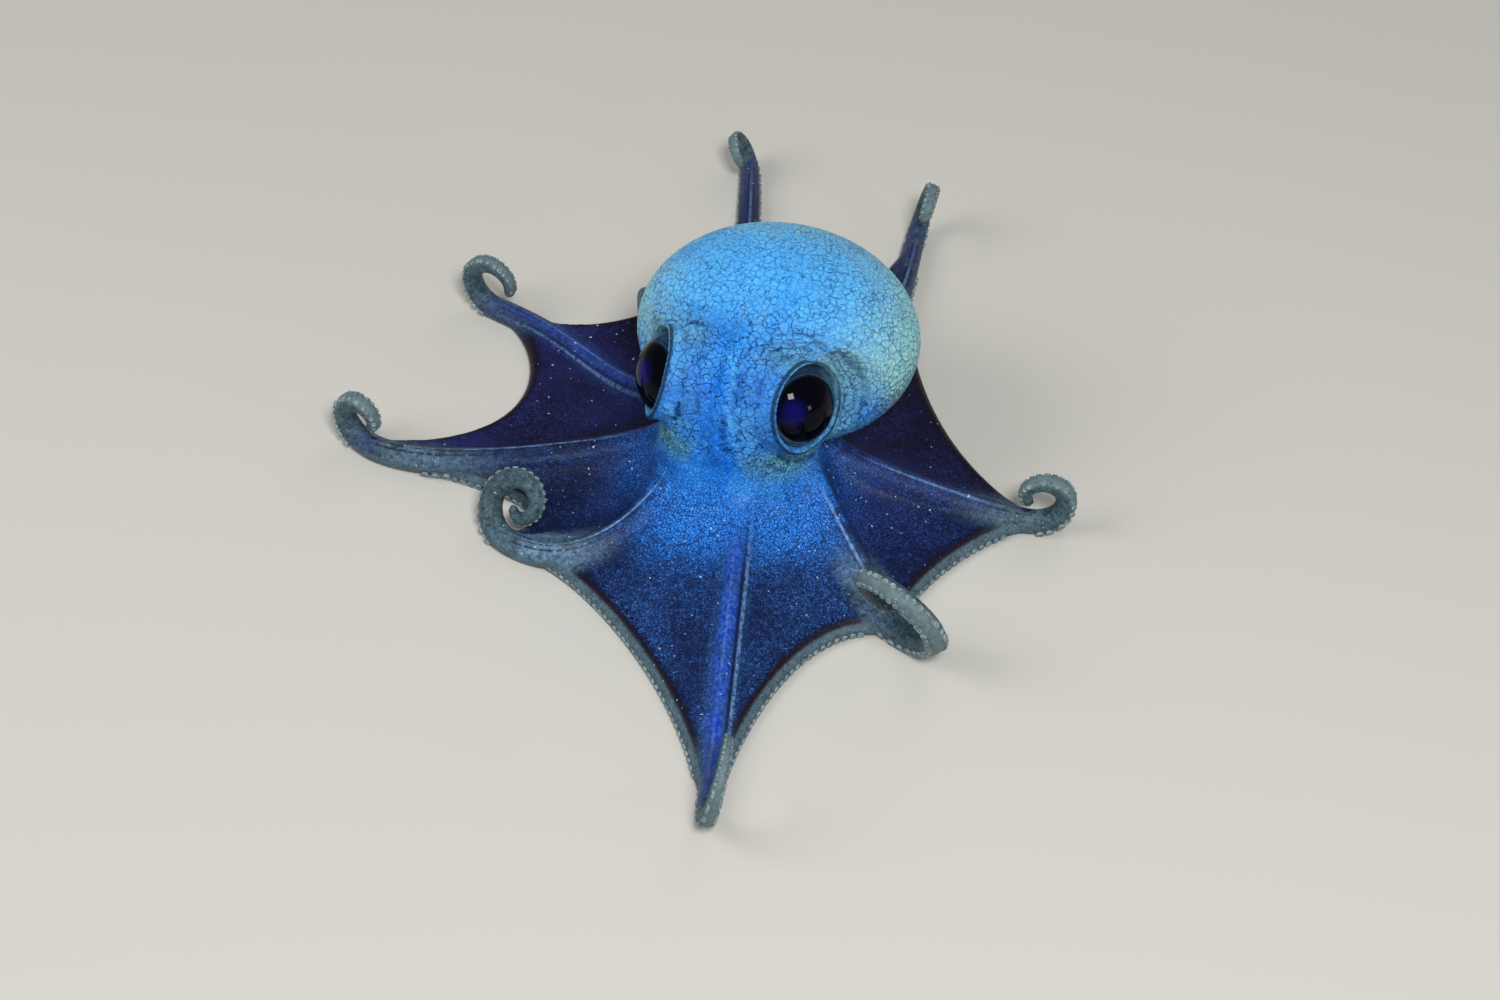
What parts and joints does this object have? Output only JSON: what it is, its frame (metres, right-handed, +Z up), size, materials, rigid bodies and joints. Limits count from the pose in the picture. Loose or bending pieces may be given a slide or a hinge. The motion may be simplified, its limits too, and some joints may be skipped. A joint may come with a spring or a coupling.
{
  "type": "octopus",
  "caption": "Still life-size model of a small octopus crouching on the floor, its webbed arms spread and their ends curled up.",
  "frame": {"origin": "on the floor under the middle of the whole outline", "axes": "+Z up from the floor; the animal faces -Y and its left side is +X"},
  "size_m": [0.1115, 0.1404, 0.0354],
  "materials": {
    "mantle_skin": "moist pale blue skin with a fine darker net",
    "head_skin": "moist deep blue skin with a fine darker net",
    "arm_skin": "moist blue skin, grey-green towards the curled ends",
    "web_skin": "moist dark blue to purple-brown skin, finely speckled",
    "eye": "wet, glossy, almost black with a blue depth"
  },
  "bodies": {
    "root": {"mantle": "mantle_skin", "head": "head_skin", "crown": "head_skin", "eye_left": "eye", "eye_right": "eye", "funnel": "mantle_skin", "arm_left_1_base": "arm_skin", "arm_left_1_middle": "arm_skin", "arm_left_1_tip": "arm_skin", "arm_left_2_base": "arm_skin", "arm_left_2_middle": "arm_skin", "arm_left_2_tip": "arm_skin", "arm_left_3_base": "arm_skin", "arm_left_3_middle": "arm_skin", "arm_left_3_tip": "arm_skin", "arm_left_4_base": "arm_skin", "arm_left_4_middle": "arm_skin", "arm_left_4_tip": "arm_skin", "arm_right_4_base": "arm_skin", "arm_right_4_middle": "arm_skin", "arm_right_4_tip": "arm_skin", "arm_right_3_base": "arm_skin", "arm_right_3_middle": "arm_skin", "arm_right_3_tip": "arm_skin", "arm_right_2_base": "arm_skin", "arm_right_2_middle": "arm_skin", "arm_right_2_tip": "arm_skin", "arm_right_1_base": "arm_skin", "arm_right_1_middle": "arm_skin", "arm_right_1_tip": "arm_skin", "web_left_1_to_left_2": "web_skin", "web_left_2_to_left_3": "web_skin", "web_left_3_to_left_4": "web_skin", "web_left_4_to_right_4": "web_skin", "web_right_4_to_right_3": "web_skin", "web_right_3_to_right_2": "web_skin", "web_right_2_to_right_1": "web_skin", "web_right_1_to_left_1": "web_skin"}
  },
  "joints": []
}
